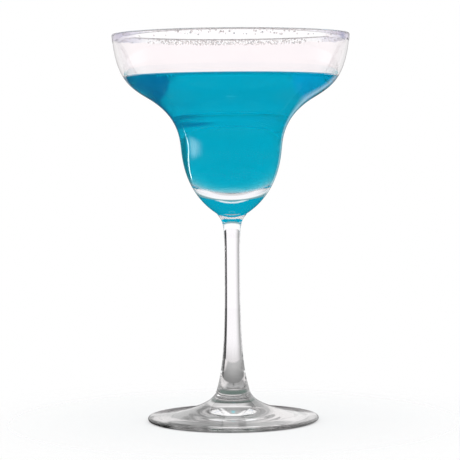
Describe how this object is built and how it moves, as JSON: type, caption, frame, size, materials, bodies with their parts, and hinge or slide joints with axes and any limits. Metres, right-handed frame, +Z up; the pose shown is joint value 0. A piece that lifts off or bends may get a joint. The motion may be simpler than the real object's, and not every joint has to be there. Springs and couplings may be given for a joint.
{
  "type": "margarita glass",
  "caption": "Margarita glass with a wide cup over a narrow well, a drawn stem and a round foot, holding a blue drink under a salted rim.",
  "frame": {"origin": "centre of the ring that the foot rests on, at table level", "axes": "+Z up along the axis of the glass; +X to the right and +Y away from the viewer, as the picture shows it"},
  "size_m": [0.116, 0.1159, 0.1866],
  "materials": {
    "clear_glass": "polished",
    "blue_drink": "gloss",
    "bubble": "gloss",
    "lime_juice": "gloss",
    "salt": "satin"
  },
  "bodies": {
    "glass": {"foot": "clear_glass", "stem": "clear_glass", "bowl": "clear_glass", "juice_film": "lime_juice", "salt_outside": "salt", "salt_inside": "salt"},
    "drink": {"drink": "blue_drink", "bubbles": "bubble"}
  },
  "joints": [
    {"name": "drink_swirl", "type": "hinge", "parent": "glass", "child": "drink", "pos_m": [0, 0, 0.14], "axis": [0, 0, 1], "continuous": true}
  ]
}
